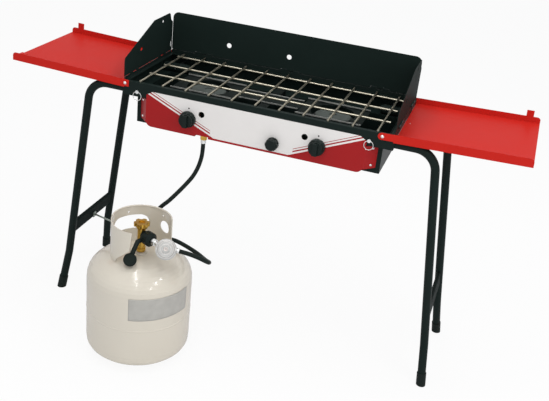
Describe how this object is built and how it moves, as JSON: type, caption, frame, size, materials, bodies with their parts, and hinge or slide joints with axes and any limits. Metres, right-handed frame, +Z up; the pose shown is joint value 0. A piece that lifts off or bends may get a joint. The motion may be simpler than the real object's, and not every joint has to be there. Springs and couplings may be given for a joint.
{
  "type": "propane burner stand",
  "caption": "Propane camp stove on splayed tube legs with a wire grate, folding windscreen and side shelves, gas hose and standing gas cylinder.",
  "frame": {"origin": "on the floor, under the middle of the whole footprint", "axes": "+X to the operator's right, +Y away from the operator, +Z up; the control panel and the gas cylinder are on the -Y side"},
  "size_m": [1.6007, 0.7285, 0.924],
  "materials": {
    "black_steel": "black powder coat, semi-gloss",
    "panel_paint": "light grey paint with red bands",
    "red_steel": "red powder coat, satin",
    "cylinder_paint": "off-white paint, semi-gloss",
    "zinc": "zinc plated",
    "nickel_wire": "nickel plated wire",
    "bare_steel": "galvanised sheet",
    "dark_sheet": "heat-proof black coat",
    "cast_iron": "as cast",
    "brass": "machined",
    "black_plastic": "moulded, fine grain",
    "black_rubber": "matt",
    "die_cast": "die cast, matt",
    "ceramic": null,
    "red_lead": "silicone insulation"
  },
  "bodies": {
    "stove": {"stove_body": "black_steel", "control_panel": "panel_paint", "panel_screws": "zinc", "drip_tray": "bare_steel", "leg_sockets": "black_steel", "burner_left": "cast_iron", "burner_right": "cast_iron", "burner_cap_left": "cast_iron", "burner_cap_right": "cast_iron", "burner_rails": "black_steel", "burner_bolts": "zinc", "baffle_left": "dark_sheet", "baffle_right": "dark_sheet", "igniter_shield": "bare_steel", "air_shutters": "zinc", "gas_manifold": "black_steel", "valve_left": "brass", "valve_right": "brass", "igniter_module": "black_plastic", "electrodes": "ceramic", "igniter_leads": "red_lead", "inlet_fitting": "brass", "screen_strips": "black_steel", "screen_pins": "zinc", "shelf_bolts": "zinc", "leg_front_left": "black_steel", "leg_back_left": "black_steel", "leg_front_right": "black_steel", "leg_back_right": "black_steel", "leg_braces": "black_steel", "brace_hook": "zinc", "leg_tips": "black_rubber", "tank_shell": "cylinder_paint", "foot_ring": "cylinder_paint", "collar": "cylinder_paint", "tank_valve": "brass", "inlet_nipple": "zinc", "regulator": "die_cast", "dust_cap": "black_rubber", "hose_ferrules": "zinc", "gas_hose": "black_rubber"},
    "left_knob": {"knob_left": "black_plastic", "valve_stem_left": "brass"},
    "right_knob": {"knob_right": "black_plastic", "valve_stem_right": "brass"},
    "igniter": {"igniter_knob": "black_plastic"},
    "grate": {"grate": "nickel_wire"},
    "back_screen": {"screen_back": "black_steel"},
    "left_screen": {"screen_left": "black_steel"},
    "right_screen": {"screen_right": "black_steel"},
    "left_shelf": {"shelf_left": "red_steel"},
    "right_shelf": {"shelf_right": "red_steel"},
    "front_left_pin": {"pin_front_left": "zinc"},
    "back_left_pin": {"pin_back_left": "zinc"},
    "front_right_pin": {"pin_front_right": "zinc"},
    "back_right_pin": {"pin_back_right": "zinc"},
    "cylinder_handwheel": {"handwheel": "brass"},
    "cylinder_nut": {"coupling_nut": "black_plastic"}
  },
  "joints": [
    {"name": "left_knob_turn", "type": "hinge", "parent": "stove", "child": "left_knob", "pos_m": [-0.202, -0.00165, 0.705], "axis": [0, -1, 0], "range_deg": [0, 180]},
    {"name": "right_knob_turn", "type": "hinge", "parent": "stove", "child": "right_knob", "pos_m": [0.202, -0.00165, 0.705], "axis": [0, -1, 0], "range_deg": [0, 180]},
    {"name": "igniter_turn", "type": "hinge", "parent": "stove", "child": "igniter", "pos_m": [0.068, -0.00165, 0.686], "axis": [0, 1, 0], "range_deg": [0, 90]},
    {"name": "grate_lift", "type": "slide", "parent": "stove", "child": "grate", "axis": [0, 0, 1], "range_m": [0, 0.06]},
    {"name": "back_screen_fold", "type": "hinge", "parent": "stove", "child": "back_screen", "pos_m": [0, 0.34735, 0.801], "axis": [1, 0, 0], "range_deg": [0, 90]},
    {"name": "left_screen_fold", "type": "hinge", "parent": "stove", "child": "left_screen", "pos_m": [-0.42, -0.00165, 0.797], "axis": [0, 1, 0], "range_deg": [0, 90]},
    {"name": "right_screen_fold", "type": "hinge", "parent": "stove", "child": "right_screen", "pos_m": [0.42, -0.00165, 0.797], "axis": [0, -1, 0], "range_deg": [0, 90]},
    {"name": "left_shelf_fold", "type": "hinge", "parent": "stove", "child": "left_shelf", "pos_m": [-0.413, 0.17835, 0.777], "axis": [0, 1, 0], "range_deg": [0, 75]},
    {"name": "right_shelf_fold", "type": "hinge", "parent": "stove", "child": "right_shelf", "pos_m": [0.384, 0.17835, 0.777], "axis": [0, -1, 0], "range_deg": [0, 25]},
    {"name": "front_left_pin_pull", "type": "slide", "parent": "stove", "child": "front_left_pin", "axis": [0, -1, 0], "range_m": [0, 0.036]},
    {"name": "back_left_pin_pull", "type": "slide", "parent": "stove", "child": "back_left_pin", "axis": [0, 1, 0], "range_m": [0, 0.086]},
    {"name": "front_right_pin_pull", "type": "slide", "parent": "stove", "child": "front_right_pin", "axis": [0, -1, 0], "range_m": [0, 0.036]},
    {"name": "back_right_pin_pull", "type": "slide", "parent": "stove", "child": "back_right_pin", "axis": [0, 1, 0], "range_m": [0, 0.086]},
    {"name": "handwheel_turn", "type": "hinge", "parent": "stove", "child": "cylinder_handwheel", "pos_m": [-0.247, -0.20465, 0.424], "axis": [0, 0, 1], "range_deg": [0, 540]},
    {"name": "coupling_turn", "type": "hinge", "parent": "stove", "child": "cylinder_nut", "pos_m": [-0.21374, -0.22087, 0.396], "axis": [0.8988, -0.4384, 0], "range_deg": [0, 360]}
  ]
}
